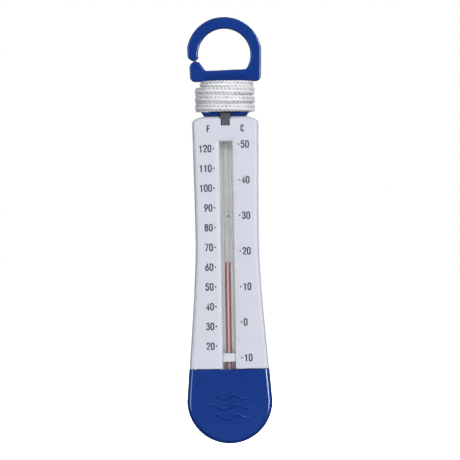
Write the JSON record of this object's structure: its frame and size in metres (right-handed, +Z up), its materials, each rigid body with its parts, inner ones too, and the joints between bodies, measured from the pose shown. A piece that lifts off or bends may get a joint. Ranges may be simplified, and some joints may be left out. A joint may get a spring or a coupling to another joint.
{
  "type": "floating pool thermometer",
  "caption": "Upright floating water thermometer: spirit tube in a two-shell float with a weighted bulb cap, a wound cord and a springy hang hook.",
  "frame": {"origin": "hang point: the top of the inside of the hook, on the centre line", "axes": "+Z up along the length towards the hook, -Y the way the scale faces, +X to the right of the scale"},
  "size_m": [0.04, 0.0297, 0.2],
  "materials": {
    "blue_plastic": "satin moulded royal blue",
    "white_plastic": "satin moulded cool white",
    "white_cord": "braided polyester cord",
    "glass": "clear, slightly grey",
    "red_spirit": "red dyed spirit",
    "grey_rubber": "dark grey, matt",
    "foam": "white closed-cell foam",
    "ballast_steel": "plain steel"
  },
  "bodies": {
    "float_body": {"hook_base": "blue_plastic", "cord_winding": "white_cord", "cord_anchor_end": "white_cord", "cord_tail": "white_cord", "cord_end_knot": "white_cord", "front_housing": "white_plastic", "rear_housing": "white_plastic", "float_core": "foam", "neck_gasket": "grey_rubber", "neck_wedge": "grey_rubber", "bottom_cap": "blue_plastic", "ballast_weight": "ballast_steel", "bulb_seat": "grey_rubber", "glass_tube": "glass", "tube_tip": "glass", "spirit_reservoir": "red_spirit", "tube_clip": "white_plastic"},
    "hook_arm": {"hook_arm": "blue_plastic"},
    "spirit": {"spirit_column": "red_spirit"}
  },
  "joints": [
    {"name": "hook_flex", "type": "hinge", "parent": "float_body", "child": "hook_arm", "pos_m": [0.01485, 0, -0.0123], "axis": [0, 1, 0], "range_deg": [0, 10], "stiffness_Nm_per_rad": 0.4},
    {"name": "column_rise", "type": "slide", "parent": "float_body", "child": "spirit", "axis": [0, 0, 1], "range_m": [-0.0449, 0.0553], "deforming": ["spirit_column"]}
  ]
}
